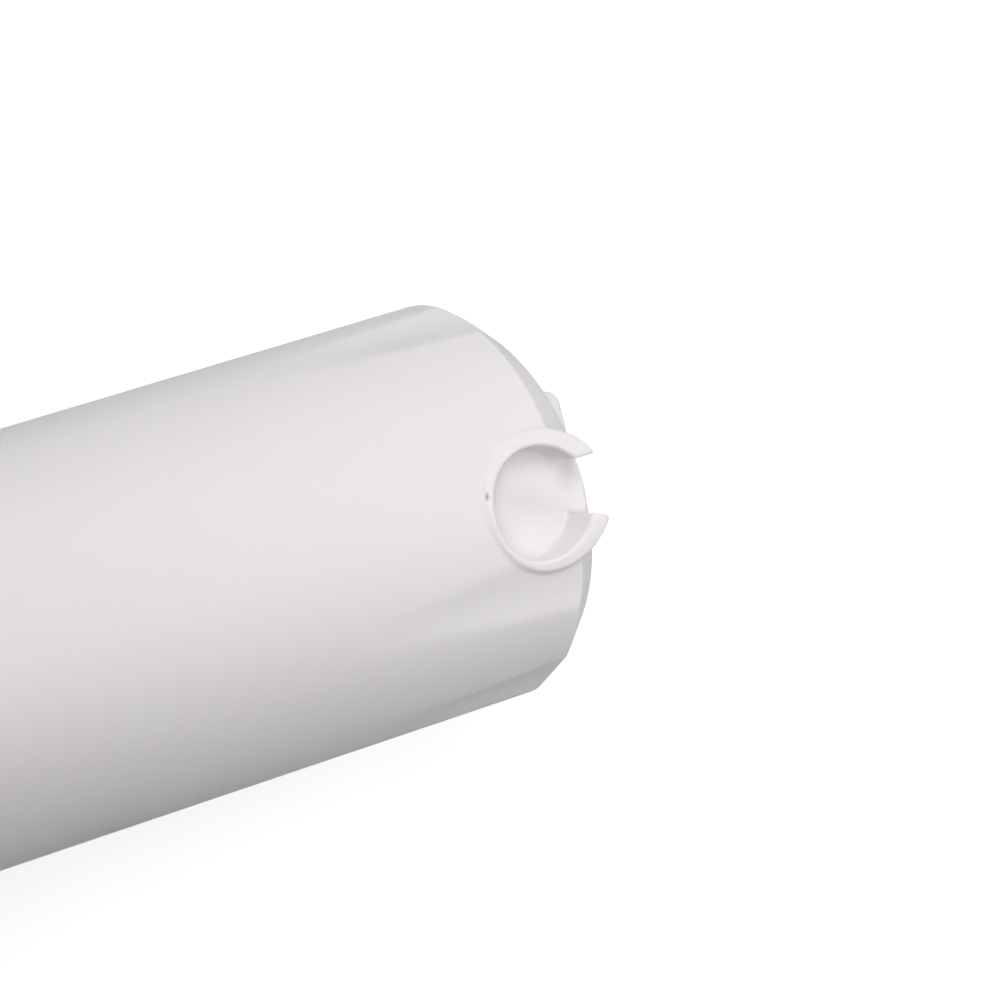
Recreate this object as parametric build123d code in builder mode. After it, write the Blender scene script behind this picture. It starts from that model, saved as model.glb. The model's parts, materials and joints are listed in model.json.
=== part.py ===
# Water prefilter cartridge, 65 mm across: a moulded housing with a fluted grip end, two side sockets and a
# turning fin, a head cap with a stepped spigot, and a depth filter element held between them.
# The cartridge lies on one socket's rim and on the head cap's flange. X runs along its axis towards the grip
# end, Z is up along the axis of both sockets, and the origin is the middle of its length on the table.
import os
from math import atan2, cos, radians, sin, sqrt, tan

from build123d import *

# Housing barrel and its bevelled, closed grip end
body_r = 32.5
body_wall = 3.0
housing_length = 190.5
end_bevel = 8.75
end_face_r = 24.4
end_wall = 3.0
bevel_edge_r = 1.2
face_edge_r = 12.0

# Grip flutes: shallow scallops that start at a point and widen to the grip end
flute_length = 43.1
flute_overrun = 6.0
flute_angles = (-65.3, -23.2, 67.8)
flute_depth = 1.1
flute_half_width = 5.9

# Side sockets: round cups that open towards the grip end between two horns. Their collars follow the barrel's
# curve just proud of it, and the gate between the horns is straight on one side and flared on the other.
socket_inset = 13.5
socket_r = 9.0
socket_depth = 8.4
socket_rim_proud = 0.3
socket_floor_wall = 2.4
socket_floor_r = 0.8
collar_wall = 2.3
collar_shift = 1.15
collar_drift = 0.2
gate_corner_x = 7.6
gate_straight_side = 5.05
gate_flared_side = 3.65
gate_flare = 19.5
horn_tip_r = 0.5

# Turning fin across the grip end
fin_reach = 11.5
fin_half_width = 13.3
fin_thickness = 4.0
fin_corner_r = 2.6
fin_edge_r = 0.8

# Head cap: flange, weld skirt and stepped spigot
flange_thickness = 5.0
flange_edge_r = 1.5
skirt_length = 10.0
skirt_wall = 2.5
skirt_clearance = 0.15
spigot_r = 16.0
spigot_length = 15.0
nose_r = 8.0
nose_length = 14.0
lead_chamfer = 1.0
outlet_bore_r = 4.0
inlet_count = 6
inlet_hole_r = 1.4
inlet_wall = 1.1
inner_socket_length = 14.0
inner_socket_wall = 1.8

# Sealing rings and their grooves
ring_play = 0.02
spigot_ring_section = 2.62
spigot_groove_depth = 2.1
spigot_groove_width = 3.6
spigot_groove_inset = 6.0
nose_ring_section = 1.78
nose_groove_depth = 1.5
nose_groove_width = 2.4
nose_groove_inset = 5.0
neck_ring_section = 1.5
neck_groove_depth = 1.4
neck_groove_width = 2.1
neck_groove_inset = 3.0

# Filter element: perforated core, depth medium and two end caps
neck_r = 7.9
neck_bore_r = 4.5
neck_length = 11.0
neck_clearance = 0.15
neck_end_play = 1.0
flow_gap = 2.4
core_r = 13.5
core_wall = 2.0
cap_disc = 3.0
cap_rim_height = 6.0
cap_rim_wall = 2.0
cap_plug_length = 5.0
cap_plug_wall = 1.8
seat_clearance = 0.1
locator_count = 4
locator_thickness = 2.0
locator_clearance = 0.3
element_end_gap = 6.0
core_slot_rows = 9
core_slot_length = 8.0
core_slot_width = 3.2

# Places along the axis, from the fin's edge back to the nose of the spigot
axis_z = body_r + socket_rim_proud
overall_length = fin_reach + housing_length + flange_thickness + spigot_length + nose_length
end_x = overall_length / 2 - fin_reach
mouth_x = end_x - housing_length
flange_x = mouth_x - flange_thickness
spigot_x = flange_x - spigot_length
nose_x = spigot_x - nose_length
socket_x = end_x - socket_inset
collar_r = socket_r + collar_wall
element_x = mouth_x + inner_socket_length
media_start = element_x + cap_disc
media_end = socket_x + collar_shift - collar_r - element_end_gap - cap_disc
media_length = media_end - media_start
spigot_groove_x = spigot_x + spigot_groove_inset
nose_groove_x = nose_x + nose_groove_inset
neck_groove_x = element_x - neck_length + neck_groove_inset

# Radii and heights that follow from the fits
inner_r = body_r - body_wall
bevel_angle = atan2(body_r - end_face_r, end_bevel)
bevel_wall = body_wall / cos(bevel_angle)
flange_r = axis_z
skirt_r = inner_r - skirt_clearance
socket_rim = axis_z
socket_floor = socket_rim - socket_depth
gate_start = socket_r / 2
gate_end = socket_inset + collar_r
inner_socket_r = neck_r + neck_clearance
inner_socket_depth = neck_length + neck_end_play
inlet_pitch_r = spigot_r - spigot_groove_depth - inlet_wall - inlet_hole_r
cap_rim_r = inner_r - flow_gap
cap_rim_inner_r = cap_rim_r - cap_rim_wall
media_r = cap_rim_inner_r - seat_clearance
core_bore_r = core_r - core_wall
cap_plug_r = core_bore_r - seat_clearance
locator_r = inner_r - locator_clearance

flute_run = flute_length - end_bevel
flute_dive = atan2(flute_depth, flute_run)
flute_hollow = flute_depth - body_r + sqrt(body_r**2 - flute_half_width**2)
flute_r = (flute_half_width**2 + flute_hollow**2) / (2 * flute_hollow)

half_section = Plane(origin=(0, 0, axis_z), x_dir=(1, 0, 0), z_dir=(0, -1, 0))
flat_section = Plane(origin=(0, 0, axis_z), x_dir=(1, 0, 0), z_dir=(0, 0, 1))
centre_line = Axis((0, 0, axis_z), (1, 0, 0))
socket_line = Axis((socket_x, 0, axis_z), (0, 0, 1))


def across(x):
    """Plane square to the cartridge's axis, facing the grip end."""
    return Plane(origin=(x, 0, axis_z), x_dir=(0, 1, 0), z_dir=(1, 0, 0))


def socket_plane(side, height):
    """Plane square to a socket's axis, at a height above the cartridge's axis, facing out of the socket."""
    return Plane(origin=(socket_x, 0, axis_z + side * height), x_dir=(1, 0, 0), z_dir=(0, 0, side))


def socket_section(side):
    """Plane through a socket's axis and the cartridge's axis, with its own Y out of the socket."""
    return Plane(origin=(socket_x, 0, axis_z), x_dir=(1, 0, 0), z_dir=(0, -side, 0))


def flute_plane(angle):
    """Plane across the axis of the round scallop that dives from a flute's tip to its depth at the bevel. The
    angle is round the barrel from up."""
    out = Vector(0, sin(radians(angle)), cos(radians(angle)))
    along = Vector(1, 0, 0) * cos(flute_dive) - out * sin(flute_dive)
    lift = Vector(1, 0, 0) * sin(flute_dive) + out * cos(flute_dive)
    tip = Vector(end_x - flute_length, 0, axis_z) + out * body_r
    return Plane(origin=tip + lift * flute_r - along * flute_overrun, x_dir=lift, z_dir=along)


def gate_flared_y(x):
    """Half width of a gate on its flared side, at a distance from the socket's axis."""
    return gate_flared_side + (x - gate_corner_x) * tan(radians(gate_flare))


gate_outline = (
    (gate_start, -gate_flared_y(gate_start)),
    (gate_end, -gate_flared_y(gate_end)),
    (gate_end, gate_straight_side),
    (gate_start, gate_straight_side),
)

# Turning fin: a flat web with rounded outer corners, rooted in the end wall
with BuildPart() as fin:
    with BuildSketch(flat_section) as fin_outline:
        with BuildLine():
            Polyline(
                (end_x - end_wall, -fin_half_width),
                (end_x + fin_reach, -fin_half_width),
                (end_x + fin_reach, fin_half_width),
                (end_x - end_wall, fin_half_width),
                close=True,
            )
        make_face()
        fillet(fin_outline.vertices().group_by(Axis.X)[-1], fin_corner_r)
    extrude(amount=fin_thickness / 2, both=True)
    fillet(fin.edges().group_by(Axis.Z)[0] + fin.edges().group_by(Axis.Z)[-1], fin_edge_r)

# Collars of both sockets: round bosses with a pair of horns, which end just proud of the housing's barrel
with BuildPart() as collars:
    for side in (1, -1):
        with BuildSketch(socket_plane(side, socket_floor - socket_floor_wall)):
            with Locations((collar_shift, collar_drift)):
                Circle(collar_r)
        extrude(amount=socket_floor_wall)
        with BuildSketch(socket_plane(side, socket_floor)) as horns:
            with Locations((collar_shift, collar_drift)):
                Circle(collar_r)
            with BuildLine():
                Polyline(*gate_outline, close=True)
            make_face(mode=Mode.SUBTRACT)
            fillet(horns.vertices().sort_by(Axis.X)[-2:], horn_tip_r)
        extrude(amount=socket_depth)
    with BuildSketch(across(socket_x + collar_shift - collar_r)):
        Circle(socket_rim)
    extrude(amount=2 * collar_r, mode=Mode.INTERSECT)

# Housing: one moulding, with the barrel, the fluted grip end, both sockets and the fin
with BuildPart() as housing:
    with BuildSketch(half_section) as barrel:
        with BuildLine():
            Polyline(
                (mouth_x, 0),
                (end_x, 0),
                (end_x, end_face_r),
                (end_x - end_bevel, body_r),
                (mouth_x, body_r),
                close=True,
            )
        make_face()
        fillet(barrel.vertices().filter_by(lambda v: abs(v.Y - end_face_r) < face_edge_r / 10), face_edge_r)
        fillet(barrel.vertices().group_by(Axis.Y)[-1].sort_by(Axis.X)[-1], bevel_edge_r)
    revolve(axis=centre_line)

    for half_turn in (0, 180):
        for angle in flute_angles:
            with Locations(flute_plane(half_turn + angle)):
                Cylinder(
                    radius=flute_r,
                    height=flute_length + 2 * flute_overrun,
                    align=(Align.CENTER, Align.CENTER, Align.MIN),
                    mode=Mode.SUBTRACT,
                )

    with BuildSketch(half_section) as hollow:
        with BuildLine():
            Polyline(
                (mouth_x, 0),
                (end_x - end_wall, 0),
                (end_x - end_wall, end_face_r + end_wall * tan(bevel_angle) - bevel_wall),
                (end_x - (inner_r - end_face_r + bevel_wall) / tan(bevel_angle), inner_r),
                (mouth_x, inner_r),
                close=True,
            )
        make_face()
        fillet(hollow.vertices().group_by(Axis.X)[-1].sort_by(Axis.Y)[-1], face_edge_r - end_wall)
    revolve(axis=centre_line, mode=Mode.SUBTRACT)

    add(collars.part)
    for side in (1, -1):
        with BuildSketch(socket_section(side)) as cup:
            with BuildLine():
                Polyline(
                    (0, socket_floor),
                    (socket_r, socket_floor),
                    (socket_r, socket_rim + socket_depth),
                    (0, socket_rim + socket_depth),
                    close=True,
                )
            make_face()
            fillet(cup.vertices().group_by(Axis.Y)[0].sort_by(Axis.X)[-1], socket_floor_r)
        revolve(axis=socket_line, mode=Mode.SUBTRACT)
        with BuildSketch(socket_plane(side, socket_floor)):
            with BuildLine():
                Polyline(*gate_outline, close=True)
            make_face()
        extrude(amount=2 * socket_depth, mode=Mode.SUBTRACT)

    add(fin.part)

# Head cap: flange and weld skirt on the housing's mouth, inner socket for the element, stepped spigot
with BuildPart() as head_cap:
    with BuildSketch(across(flange_x)):
        Circle(flange_r)
    extrude(amount=flange_thickness)
    fillet(head_cap.edges().group_by(Axis.X)[0], flange_edge_r)
    with BuildSketch(across(mouth_x)):
        Circle(skirt_r)
        Circle(skirt_r - skirt_wall, mode=Mode.SUBTRACT)
    extrude(amount=skirt_length)
    with BuildSketch(across(mouth_x)):
        Circle(inner_socket_r + inner_socket_wall)
    extrude(amount=inner_socket_length)
    with BuildSketch(across(flange_x)):
        Circle(spigot_r)
    extrude(amount=-spigot_length)
    chamfer(head_cap.edges().group_by(Axis.X)[0], lead_chamfer)
    with BuildSketch(across(spigot_x)):
        Circle(nose_r)
    extrude(amount=-nose_length)
    chamfer(head_cap.edges().group_by(Axis.X)[0], lead_chamfer)

    with BuildSketch(across(spigot_groove_x)):
        Circle(spigot_r + spigot_groove_depth)
        Circle(spigot_r - spigot_groove_depth, mode=Mode.SUBTRACT)
    extrude(amount=spigot_groove_width, mode=Mode.SUBTRACT)
    with BuildSketch(across(nose_groove_x)):
        Circle(nose_r + nose_groove_depth)
        Circle(nose_r - nose_groove_depth, mode=Mode.SUBTRACT)
    extrude(amount=nose_groove_width, mode=Mode.SUBTRACT)

    with BuildSketch(across(element_x)):
        Circle(inner_socket_r)
    extrude(amount=-inner_socket_depth, mode=Mode.SUBTRACT)
    with BuildSketch(across(nose_x)):
        Circle(outlet_bore_r)
    extrude(amount=element_x - nose_x, mode=Mode.SUBTRACT)
    with BuildSketch(across(spigot_x)):
        with PolarLocations(inlet_pitch_r, inlet_count):
            Circle(inlet_hole_r)
    extrude(amount=mouth_x - spigot_x, mode=Mode.SUBTRACT)

# Outlet end cap of the element: its neck seals in the head cap's inner socket
with BuildPart() as outlet_end_cap:
    with BuildSketch(across(element_x)):
        Circle(cap_rim_r)
    extrude(amount=cap_disc)
    with BuildSketch(across(media_start)):
        Circle(cap_rim_r)
        Circle(cap_rim_inner_r, mode=Mode.SUBTRACT)
        Circle(cap_plug_r)
    extrude(amount=cap_plug_length)
    with BuildSketch(across(media_start + cap_plug_length)):
        Circle(cap_rim_r)
        Circle(cap_rim_inner_r, mode=Mode.SUBTRACT)
    extrude(amount=cap_rim_height - cap_plug_length)
    with BuildSketch(across(element_x)):
        Circle(neck_r)
    extrude(amount=-neck_length)
    with BuildSketch(across(neck_groove_x)):
        Circle(neck_r + neck_groove_depth)
        Circle(neck_r - neck_groove_depth, mode=Mode.SUBTRACT)
    extrude(amount=neck_groove_width, mode=Mode.SUBTRACT)
    with BuildSketch(across(element_x - neck_length)):
        Circle(neck_bore_r)
    extrude(amount=neck_length + cap_disc + cap_plug_length, mode=Mode.SUBTRACT)

# Closed end cap of the element, with locating ribs that centre it in the barrel
with BuildPart() as closed_end_cap:
    with BuildSketch(across(media_end)):
        Circle(cap_rim_r)
    extrude(amount=cap_disc)
    with BuildSketch(across(media_end)):
        Circle(cap_rim_r)
        Circle(cap_rim_inner_r, mode=Mode.SUBTRACT)
    extrude(amount=-cap_rim_height)
    with BuildSketch(across(media_end)):
        Circle(cap_plug_r)
        Circle(cap_plug_r - cap_plug_wall, mode=Mode.SUBTRACT)
    extrude(amount=-cap_plug_length)
    with BuildSketch(across(media_end - cap_rim_height)):
        with PolarLocations((cap_rim_inner_r + locator_r) / 2, locator_count):
            Rectangle(locator_r - cap_rim_inner_r, locator_thickness)
        Circle(cap_rim_inner_r, mode=Mode.SUBTRACT)
    extrude(amount=cap_rim_height + cap_disc)

# Perforated core tube that the medium is laid on
with BuildPart() as core_tube:
    with BuildSketch(across(media_start)):
        Circle(core_r)
        Circle(core_bore_r, mode=Mode.SUBTRACT)
    extrude(amount=media_length)
    slot_pitch = media_length / (core_slot_rows + 1)
    slot_middle = (media_start + media_end) / 2
    for slot_plane in (half_section, flat_section):
        with BuildSketch(slot_plane):
            with Locations((slot_middle, 0)):
                with GridLocations(slot_pitch, slot_pitch, core_slot_rows, 1):
                    SlotOverall(core_slot_length, core_slot_width)
        extrude(amount=core_r, both=True, mode=Mode.SUBTRACT)

# Depth medium: a thick sleeve of bonded melt-blown fibre on the core
with BuildPart() as sediment_media:
    with BuildSketch(across(media_start)):
        Circle(media_r)
        Circle(core_r + seat_clearance, mode=Mode.SUBTRACT)
    extrude(amount=media_length)

# Sealing rings, each in its groove
with BuildPart(across(spigot_groove_x + spigot_groove_width / 2)) as spigot_o_ring:
    Torus(spigot_r - spigot_groove_depth + spigot_ring_section / 2 + ring_play, spigot_ring_section / 2)

with BuildPart(across(nose_groove_x + nose_groove_width / 2)) as nose_o_ring:
    Torus(nose_r - nose_groove_depth + nose_ring_section / 2 + ring_play, nose_ring_section / 2)

with BuildPart(across(neck_groove_x + neck_groove_width / 2)) as neck_o_ring:
    Torus(neck_r - neck_groove_depth + neck_ring_section / 2 + ring_play, neck_ring_section / 2)

pieces = {
    "housing": housing,
    "head_cap": head_cap,
    "outlet_end_cap": outlet_end_cap,
    "closed_end_cap": closed_end_cap,
    "core_tube": core_tube,
    "sediment_media": sediment_media,
    "spigot_o_ring": spigot_o_ring,
    "nose_o_ring": nose_o_ring,
    "neck_o_ring": neck_o_ring,
}
os.makedirs("parts", exist_ok=True)
for name, piece in pieces.items():
    piece.part.label = name
    export_step(piece.part, f"parts/{name}.step")
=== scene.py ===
import json
from math import atan2, cos, radians, sin, sqrt

import bmesh
import bpy
import numpy as np
from mathutils import Matrix, Vector


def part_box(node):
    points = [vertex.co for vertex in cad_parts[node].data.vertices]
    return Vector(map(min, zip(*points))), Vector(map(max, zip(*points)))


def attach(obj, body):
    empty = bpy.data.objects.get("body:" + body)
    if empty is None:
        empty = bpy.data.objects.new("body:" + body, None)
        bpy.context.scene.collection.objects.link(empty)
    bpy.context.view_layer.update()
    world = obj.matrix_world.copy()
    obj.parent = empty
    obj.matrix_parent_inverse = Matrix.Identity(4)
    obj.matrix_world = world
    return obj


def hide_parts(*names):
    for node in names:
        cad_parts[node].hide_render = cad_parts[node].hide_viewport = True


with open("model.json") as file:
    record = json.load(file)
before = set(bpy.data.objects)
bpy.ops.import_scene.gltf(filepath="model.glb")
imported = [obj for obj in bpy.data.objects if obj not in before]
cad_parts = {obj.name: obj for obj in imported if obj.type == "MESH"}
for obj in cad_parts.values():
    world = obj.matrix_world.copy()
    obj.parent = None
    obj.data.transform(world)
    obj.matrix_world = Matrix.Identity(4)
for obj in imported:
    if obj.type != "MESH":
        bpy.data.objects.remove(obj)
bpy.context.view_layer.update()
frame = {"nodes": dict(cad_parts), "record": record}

MM = 0.001


def linear(hex_colour):
    """An sRGB hex colour as the linear colour that a shader socket takes."""
    def channel(start):
        value = int(hex_colour[start:start + 2], 16) / 255
        return value / 12.92 if value <= 0.04045 else ((value + 0.055) / 1.055) ** 2.4
    return (channel(1), channel(3), channel(5), 1.0)


def per_mm(size):
    """The texture scale at which a pattern repeats about every size millimetres."""
    return 1 / (size * MM)


def add_node(tree, kind, inputs=None, **settings):
    """Adds a node with its settings, and gives each named input a value or a link from an output."""
    made = tree.nodes.new(kind)
    for name, value in settings.items():
        setattr(made, name, value)
    for socket, value in (inputs or {}).items():
        if isinstance(value, bpy.types.NodeSocket):
            tree.links.new(value, made.inputs[socket])
        else:
            made.inputs[socket].default_value = value
    return made


def new_material(name, shader, inputs=None):
    """A node material with one shader on its surface. Gives the material, its tree and the shader."""
    material = bpy.data.materials.new(name)
    material.use_nodes = True
    tree = material.node_tree
    tree.nodes.clear()
    surface = add_node(tree, shader, inputs)
    add_node(tree, "ShaderNodeOutputMaterial", {"Surface": surface.outputs[0]})
    return material, tree, surface


def wire(tree, surface, inputs):
    """Links outputs into a shader's inputs."""
    for socket, output in inputs.items():
        tree.links.new(output, surface.inputs[socket])


def blot(tree, at, turn, reach):
    """A soft blot in millimetres: 1 in its middle, 0 at its edge. Reach is its half size each way."""
    place = add_node(tree, "ShaderNodeTexCoord").outputs["Object"]
    spot = add_node(tree, "ShaderNodeMapping", {
        "Vector": place, "Location": Vector(at) * MM, "Rotation": turn, "Scale": Vector(reach) * MM},
        vector_type="TEXTURE")
    return add_node(tree, "ShaderNodeTexGradient", {"Vector": spot.outputs["Vector"]},
                    gradient_type="SPHERICAL").outputs["Fac"]


def moulded_polypropylene(name, colour, cloud_colour):
    """Polypropylene from a spark-eroded mould: an even satin skin with a fine grain that spreads highlights,
    a faint cloudiness where the melt flowed, and soft shadow edges because a little light enters it."""
    material, tree, surface = new_material(name, "ShaderNodeBsdfPrincipled", {
        "IOR": 1.49, "Subsurface Weight": 0.8, "Subsurface Radius": (1.0, 1.0, 1.0),
        "Subsurface Scale": 2.0 * MM})
    place = add_node(tree, "ShaderNodeTexCoord").outputs["Object"]
    cloud = add_node(tree, "ShaderNodeTexNoise", {"Vector": place, "Scale": per_mm(40), "Detail": 3.0})
    grain = add_node(tree, "ShaderNodeTexNoise", {"Vector": place, "Scale": per_mm(0.5), "Detail": 2.0})
    tint = add_node(tree, "ShaderNodeMix", {
        "Factor": cloud.outputs["Fac"], "A": linear(colour), "B": linear(cloud_colour)}, data_type="RGBA")
    satin = add_node(tree, "ShaderNodeMapRange", {
        "Value": grain.outputs["Fac"], "To Min": 0.46, "To Max": 0.58})
    relief = add_node(tree, "ShaderNodeBump", {
        "Height": grain.outputs["Fac"], "Strength": 0.05, "Distance": 0.05 * MM})
    wire(tree, surface, {"Base Color": tint.outputs["Result"], "Roughness": satin.outputs["Result"],
                         "Normal": relief.outputs["Normal"]})
    return material, tree, surface


def moulded_rubber(name, colour, bloom_colour):
    """Nitrile rubber from a compression mould: near black and soft-edged in the light, with patches of the
    grey bloom that rises to its skin."""
    material, tree, surface = new_material(name, "ShaderNodeBsdfPrincipled", {"IOR": 1.52})
    place = add_node(tree, "ShaderNodeTexCoord").outputs["Object"]
    bloom = add_node(tree, "ShaderNodeTexNoise", {"Vector": place, "Scale": per_mm(4), "Detail": 4.0})
    tint = add_node(tree, "ShaderNodeMix", {
        "Factor": bloom.outputs["Fac"], "A": linear(colour), "B": linear(bloom_colour)}, data_type="RGBA")
    skin = add_node(tree, "ShaderNodeMapRange", {
        "Value": bloom.outputs["Fac"], "To Min": 0.4, "To Max": 0.6})
    wire(tree, surface, {"Base Color": tint.outputs["Result"], "Roughness": skin.outputs["Result"]})
    return material


def melt_blown_fibre(name, colour, painted_gap_shade_colour):
    """Polypropylene fibre blown hot on a turning core: a matt, felted skin of fine strands laid round the
    sleeve, with painted shade in the gaps between them: the colour goes darker where the bump is low."""
    material, tree, surface = new_material(name, "ShaderNodeBsdfPrincipled", {
        "IOR": 1.45, "Roughness": 0.95})
    place = add_node(tree, "ShaderNodeTexCoord").outputs["Object"]
    wrap = add_node(tree, "ShaderNodeMapping", {"Vector": place, "Scale": (5.0, 1.0, 1.0)})
    strands = add_node(tree, "ShaderNodeTexNoise", {
        "Vector": wrap.outputs["Vector"], "Scale": per_mm(2), "Detail": 6.0, "Roughness": 0.7})
    # Painted shade: where the strands' noise is low, as the bump's hollows are, the colour goes to the
    # darker gap colour.
    tint = add_node(tree, "ShaderNodeMix", {
        "Factor": strands.outputs["Fac"], "A": linear(painted_gap_shade_colour), "B": linear(colour)}, data_type="RGBA")
    felt = add_node(tree, "ShaderNodeBump", {
        "Height": strands.outputs["Fac"], "Strength": 0.6, "Distance": 0.3 * MM})
    wire(tree, surface, {"Base Color": tint.outputs["Result"], "Normal": felt.outputs["Normal"]})
    return material


# White housing with two marks of use, placed in millimetres: a smudge of dirt in the crease of the upper
# socket's collar, and a short scratch that catches the light.
SMUDGE_AT = (83.33, 3.66, 65.14)
SMUDGE_TURN = radians(-20)
SMUDGE_REACH = (0.42, 0.85, 0.8)
SCRATCH_AT = (58.9, -10.4, 63.6)
SCRATCH_TURN = radians(39)
SCRATCH_REACH = (0.9, 0.22, 0.8)

housing_skin, tree, surface = moulded_polypropylene("moulded_polypropylene_housing", "#EBE7E8", "#E9E6E7")
smudge = blot(tree, SMUDGE_AT, (0.0, 0.0, SMUDGE_TURN), SMUDGE_REACH)
scratch = blot(tree, SCRATCH_AT, (0.0, 0.0, SCRATCH_TURN), SCRATCH_REACH)
plain = surface.inputs["Base Color"].links[0].from_socket
dirty = add_node(tree, "ShaderNodeMix", {
    "Factor": smudge, "A": plain, "B": linear("#938A84")}, data_type="RGBA")
scored = add_node(tree, "ShaderNodeMix", {
    "Factor": scratch, "A": dirty.outputs["Result"], "B": linear("#F3F0F1")}, data_type="RGBA")
wire(tree, surface, {"Base Color": scored.outputs["Result"]})

head_cap_skin = moulded_polypropylene("moulded_polypropylene_head_cap", "#E9E6E7", "#E7E5E6")[0]
cap_skin = moulded_polypropylene("moulded_natural_polypropylene_caps", "#E1E1DE", "#DCDCDA")[0]
core_skin = moulded_polypropylene("moulded_natural_polypropylene_core", "#DCDEDE", "#D6D9DA")[0]
# The second colour is painted shade for the gaps between the fibre's strands.
fibre = melt_blown_fibre("melt_blown_polypropylene_fibre", "#EFEEE8", "#D2D0C8")
rubber = moulded_rubber("moulded_nitrile_rubber", "#161618", "#2A2A2C")
finishes = {
    "housing": housing_skin,
    "head_cap": head_cap_skin,
    "outlet_end_cap": cap_skin,
    "closed_end_cap": cap_skin,
    "core_tube": core_skin,
    "sediment_media": fibre,
    "spigot_o_ring": rubber,
    "nose_o_ring": rubber,
    "neck_o_ring": rubber,
}
for name, finish in finishes.items():
    frame["nodes"][name].material_slots[0].material = finish

# Housing form in millimetres, with Z counted from the cartridge's axis. Its two ends, its axis and the place
# of its upper socket come from the frame.
mounts = {mount["name"]: mount for mount in frame["record"]["mounts"]}
housing_low, housing_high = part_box("housing")
AXIS_Z = round(mounts["head_spigot"]["pos_m"][2] / MM, 2)
MOUTH_X = round(housing_low[0] / MM, 2)
FIN_X = round(housing_high[0] / MM, 2)
FIN_REACH = 11.5
END_X = FIN_X - FIN_REACH
BODY_R = 32.5
END_BEVEL = 8.75
END_FACE_R = 24.4
BEVEL_EDGE_R = 1.2
FACE_EDGE_R = 12.0
FLUTE_LENGTH = 43.1
FLUTE_TIP_X = END_X - FLUTE_LENGTH
FLUTE_RUN = FLUTE_LENGTH - END_BEVEL
FLUTE_ANGLES = (-65.3, -23.2, 67.8)
FLUTE_DEPTH = 1.1
FLUTE_HALF_WIDTH = 5.9
FLUTE_SOFTNESS = 0.35
RIM_R = AXIS_Z
SOCKET_X = round(mounts["socket_top"]["pos_m"][0] / MM, 2)
SOCKET_R = mounts["socket_top"]["dims"]["r_mm"]
SOCKET_DEPTH = 8.4
SOCKET_FLOOR = RIM_R - SOCKET_DEPTH
SOCKET_FLOOR_R = 0.8
COLLAR_WALL = 2.3
COLLAR_R = SOCKET_R + COLLAR_WALL
COLLAR_SHIFT = 1.15
COLLAR_DRIFT = 0.2
GATE_START = 4.5
GATE_CORNER_X = 7.6
GATE_STRAIGHT_SIDE = 5.05
GATE_FLARED_SIDE = 3.65
GATE_FLARE = radians(19.5)
GATE_SOFTNESS = 0.6
COLLAR_SOFTNESS = 0.7
RIM_OUTER_EDGE_R = 0.4
RIM_INNER_EDGE_R = 0.65
FIN_HALF_WIDTH = 13.3
FIN_HALF_THICKNESS = 2.0
FIN_CORNER_R = 2.6
FIN_EDGE_R = 0.8
FIN_ROOT_X = END_X - 4
FIN_ROOT_SOFTNESS = 0.8

# Lines of the grid that the housing's mesh is made on: each stop with the step that leads on from it. They
# are closest at the mouth's edge, the sockets and the grip end, and far apart along the plain barrel.
GRID_X = ((-86.0, 1.7), (-84.3, 0.2), (-83.5, 14), (56.5, 1.0), (80.5, 0.36), (107.2, 0.6), (118.6, 1))
GRID_Y = ((-33.3, 0.6), (-13.2, 0.35), (13.2, 0.6), (33.5, 1))
GRID_Z = ((-33.3, 0.35), (-21.0, 0.65), (21.0, 0.35), (33.4, 1))
SLOPE_REACH = 0.01
SETTLING_ROUNDS = 3
LONGEST_MOVE = 0.25
LEAST_STEEPNESS = 0.2
JOINED_WITHIN = 0.12


def rounded_max(a, b, radius, lean=0.0):
    """The overlap of two fields, its edge rounded to a radius. Lean is the cosine between their normals."""
    a, b = a + radius, b + radius
    corner = np.sqrt(np.maximum(a * a + b * b - 2 * a * b * lean, 0) / (1 - lean * lean))
    return np.where((a > b * lean) & (b > a * lean), corner, np.maximum(a, b)) - radius


def soft_min(a, b, width):
    """The union of two fields, blended where they differ by less than a width."""
    blend = np.maximum(width - np.abs(a - b), 0)
    return np.minimum(a, b) - blend * blend / (4 * width)


def soft_max(a, b, width):
    """The overlap of two fields, blended where they differ by less than a width."""
    return -soft_min(-a, -b, width)


def flute_field(x, y, z, angle):
    """A round scallop that dives from a flute's tip, as deep and as wide as the flute at the bevel."""
    hollow = FLUTE_DEPTH - BODY_R + sqrt(BODY_R**2 - FLUTE_HALF_WIDTH**2)
    radius = (FLUTE_HALF_WIDTH**2 + hollow**2) / (2 * hollow)
    dive = atan2(FLUTE_DEPTH, FLUTE_RUN)
    out = y * sin(radians(angle)) + z * cos(radians(angle)) - BODY_R
    aside = y * cos(radians(angle)) - z * sin(radians(angle))
    lift = (x - FLUTE_TIP_X) * sin(dive) + out * cos(dive)
    return np.hypot(lift - radius, aside) - radius


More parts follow.
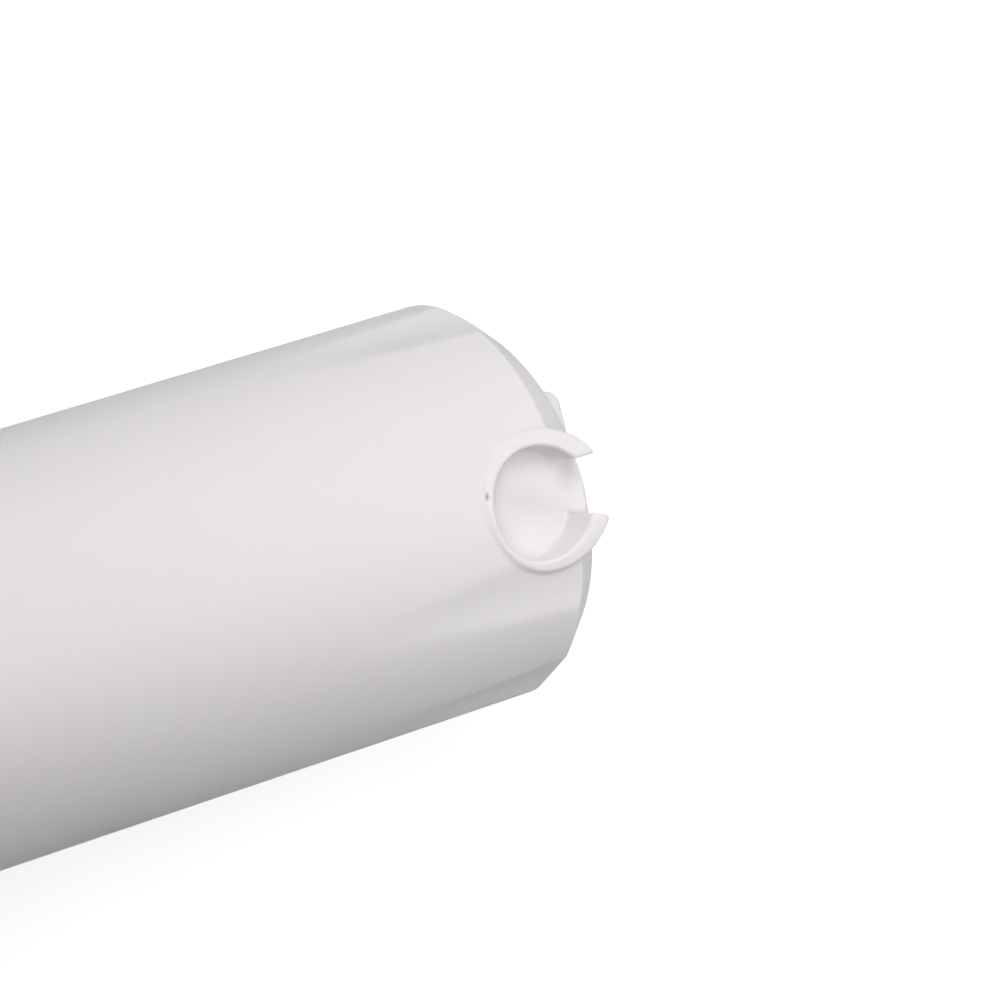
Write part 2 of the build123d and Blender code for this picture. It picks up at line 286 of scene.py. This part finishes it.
def housing_field(x, y, z):
    """Signed distance in millimetres from the housing's surface, less than 0 inside it."""
    r = np.hypot(y, z)
    slope = atan2(BODY_R - END_FACE_R, END_BEVEL)
    bevel = (x - END_X + END_BEVEL) * sin(slope) + (r - BODY_R) * cos(slope)
    end = rounded_max(bevel, x - END_X, FACE_EDGE_R, sin(slope))
    form = rounded_max(r - BODY_R, end, BEVEL_EDGE_R, cos(slope))
    for turn in (0, 180):
        for angle in FLUTE_ANGLES:
            form = soft_max(form, -flute_field(x, y, z, turn + angle), FLUTE_SOFTNESS)

    side = np.where(z < 0, -1, 1)
    u, v, w = x - SOCKET_X, y * side, z * side
    collar = np.hypot(u - COLLAR_SHIFT, v - COLLAR_DRIFT) - COLLAR_R
    form = soft_min(form, rounded_max(collar, r - RIM_R, RIM_OUTER_EDGE_R), COLLAR_SOFTNESS)
    flared = (-v - GATE_FLARED_SIDE) * cos(GATE_FLARE) - (u - GATE_CORNER_X) * sin(GATE_FLARE)
    gate = np.maximum(np.maximum(v - GATE_STRAIGHT_SIDE, flared), GATE_START - u)
    plan = soft_min(np.hypot(u, v) - SOCKET_R, gate, GATE_SOFTNESS)
    cup = rounded_max(plan, SOCKET_FLOOR - w, SOCKET_FLOOR_R)
    form = rounded_max(form, -cup, RIM_INNER_EDGE_R)

    fin_plan = rounded_max(np.abs(y) - FIN_HALF_WIDTH, x - FIN_X, FIN_CORNER_R)
    fin = rounded_max(fin_plan, np.abs(z) - FIN_HALF_THICKNESS, FIN_EDGE_R)
    fin = np.maximum(fin, FIN_ROOT_X - x)
    return np.maximum(soft_min(form, fin, FIN_ROOT_SOFTNESS), MOUTH_X - x)


def surface_nets(axes, values):
    """Points and four-sided faces of the zero surface of a field that is sampled on a grid of lines."""
    shape = [size - 1 for size in values.shape]
    cells = shape[0] * shape[1] * shape[2]
    total, count, faces = np.zeros((cells, 3)), np.zeros(cells), []
    for axis in range(3):
        near, far = np.delete(values, -1, axis), np.delete(values, 0, axis)
        at = np.argwhere((near < 0) != (far < 0))
        start, stop = near[tuple(at.T)], far[tuple(at.T)]
        points = np.stack([axes[k][at[:, k]] for k in range(3)], axis=1)
        points[:, axis] += np.diff(axes[axis])[at[:, axis]] * start / (start - stop)
        corners = []
        for back_u, back_v in ((0, 0), (1, 0), (1, 1), (0, 1)):
            cell = at.copy()
            cell[:, (axis + 1) % 3] -= back_u
            cell[:, (axis + 2) % 3] -= back_v
            corners.append(np.ravel_multi_index(cell.T, shape))
            count += np.bincount(corners[-1], minlength=cells)
            for k in range(3):
                total[:, k] += np.bincount(corners[-1], points[:, k], cells)
        quads = np.stack(corners, axis=1)
        faces.append(np.where((start < 0)[:, None], quads, quads[:, ::-1]))
    used = np.nonzero(count)[0]
    number = np.zeros(cells, int)
    number[used] = np.arange(len(used))
    return total[used] / count[used, None], number[np.concatenate(faces)]


def steps(*stops):
    """Grid lines through the stops, each given with the step that leads on from it."""
    lines = [np.arange(a, b - step / 2, step) for (a, step), (b, _) in zip(stops, stops[1:])]
    return np.concatenate(lines + [[stops[-1][0]]])


def field_slope(points):
    """The field's direction of growth at each point."""
    slope = np.empty_like(points)
    for k in range(3):
        shift = np.zeros(3)
        shift[k] = SLOPE_REACH
        slope[:, k] = housing_field(*(points + shift).T) - housing_field(*(points - shift).T)
    return slope / (2 * SLOPE_REACH)


def housing_mesh():
    """The housing's points, settled onto the field's zero surface, and its faces."""
    axes = steps(*GRID_X), steps(*GRID_Y), steps(*GRID_Z)
    points, faces = surface_nets(axes, housing_field(*np.meshgrid(*axes, indexing="ij")))
    for _ in range(SETTLING_ROUNDS):
        slope = field_slope(points)
        move = housing_field(*points.T) / np.maximum((slope * slope).sum(axis=1), LEAST_STEEPNESS)
        points -= np.clip(move, -LONGEST_MOVE, LONGEST_MOVE)[:, None] * slope
    return points, faces


def housing_piece():
    """The housing as one mesh. Points that nearly meet are joined, and its shading follows the field."""
    points, faces = housing_mesh()
    mesh = bpy.data.meshes.new("moulded_housing")
    mesh.from_pydata((points + (0, 0, AXIS_Z)) * MM, [], faces.tolist())
    shell = bmesh.new()
    shell.from_mesh(mesh)
    bmesh.ops.remove_doubles(shell, verts=shell.verts, dist=JOINED_WITHIN * MM)
    shell.to_mesh(mesh)
    shell.free()
    points = np.array([vertex.co for vertex in mesh.vertices]) / MM - (0, 0, AXIS_Z)
    slope = field_slope(points)
    mesh.shade_smooth()
    mesh.normals_split_custom_set_from_vertices(slope / np.linalg.norm(slope, axis=1)[:, None])
    piece = bpy.data.objects.new("moulded_housing", mesh)
    bpy.context.scene.collection.objects.link(piece)
    return piece


housing = housing_piece()
housing.data.materials.append(housing_skin)
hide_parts("housing")
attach(housing, "root")

# The camera looks down on the upper socket, turned so that the cartridge's length runs across the picture.
CAMERA_AIM = Vector((85.22, 2.61, 65.6)) * MM
CAMERA_DISTANCE = 982.95 * MM
CAMERA_AZIMUTH = 167.08
CAMERA_ELEVATION = 60.04
CAMERA_UP = Vector((0.265571, 0.963767, 0.024989))
CAMERA_LENS = 227.579
CAMERA_SENSOR = 36

azimuth, elevation = radians(CAMERA_AZIMUTH), radians(CAMERA_ELEVATION)
back = Vector((cos(azimuth) * cos(elevation), sin(azimuth) * cos(elevation), sin(elevation)))
right = CAMERA_UP.cross(back).normalized()
up = back.cross(right)
camera = bpy.data.objects.new("camera", bpy.data.cameras.new("camera"))
bpy.context.scene.collection.objects.link(camera)
camera.data.lens = CAMERA_LENS
camera.data.sensor_width = CAMERA_SENSOR
camera.matrix_world = Matrix((right, up, back)).transposed().to_4x4()
camera.matrix_world.translation = CAMERA_AIM + back * CAMERA_DISTANCE
bpy.context.scene.camera = camera

# Floor of white paper in metres, which the camera sees as white except where the cartridge shades it.
FLOOR_SIZE = 4

bpy.ops.mesh.primitive_plane_add(size=FLOOR_SIZE)
floor = bpy.context.object
floor.name = "floor"
paper, tree, surface = new_material("white_paper", "ShaderNodeAddShader")
paths = add_node(tree, "ShaderNodeLightPath")
fibres = add_node(tree, "ShaderNodeTexNoise", {"Scale": per_mm(0.6), "Detail": 4.0})
tone = add_node(tree, "ShaderNodeMix", {
    "Factor": fibres.outputs["Fac"], "A": linear("#C3C3C3"), "B": linear("#C6C6C6")}, data_type="RGBA")
matt = add_node(tree, "ShaderNodeBsdfDiffuse", {"Color": tone.outputs["Result"]})
glow = add_node(tree, "ShaderNodeEmission", {
    "Color": linear("#D2D2D2"), "Strength": paths.outputs["Is Camera Ray"]})
wire(tree, surface, {0: matt.outputs[0], 1: glow.outputs[0]})
floor.data.materials.append(paper)

# Point in metres, near the grip end, that every soft box faces.
LIT_POINT = Vector((0.15, 0.0, 0.05))


def soft_box(name, azimuth, elevation, distance, size, power, spread):
    """A square soft box that faces the lit point. Its direction and the spread of its beam are in degrees,
    its distance and size in metres, and its power in watts."""
    lamp = bpy.data.lights.new(name, "AREA")
    lamp.size = size
    lamp.energy = power
    lamp.spread = radians(spread)
    light = bpy.data.objects.new(name, lamp)
    bpy.context.scene.collection.objects.link(light)
    turn, rise = radians(azimuth), radians(elevation)
    away = Vector((cos(turn) * cos(rise), sin(turn) * cos(rise), sin(rise)))
    light.location = LIT_POINT + away * distance
    light.rotation_euler = away.to_track_quat("Z", "Y").to_euler()


# Large soft boxes stand over the top, the left and the back of the picture. Small near ones face the grip
# end, and their light falls off along the barrel.
soft_box("top_soft_box", azimuth=120, elevation=60, distance=1.2, size=0.6, power=0.49, spread=40)
soft_box("left_soft_box", azimuth=180, elevation=60, distance=1.2, size=0.6, power=0.46, spread=40)
soft_box("back_soft_box", azimuth=90, elevation=28, distance=1.2, size=0.6, power=4.7, spread=180)
soft_box("end_soft_box", azimuth=0, elevation=60, distance=0.45, size=0.22, power=0.34, spread=180)
soft_box("right_soft_box", azimuth=315, elevation=28, distance=0.45, size=0.22, power=0.69, spread=180)

# The world is a white backdrop that only the camera sees, so the soft boxes alone light the cartridge.
world = bpy.data.worlds.new("studio")
bpy.context.scene.world = world
world.use_nodes = True
paths = add_node(world.node_tree, "ShaderNodeLightPath")
backdrop = world.node_tree.nodes["Background"]
backdrop.inputs["Color"].default_value = linear("#FFFFFF")
wire(world.node_tree, backdrop, {"Strength": paths.outputs["Is Camera Ray"]})

bpy.context.scene.view_settings.view_transform = "Standard"
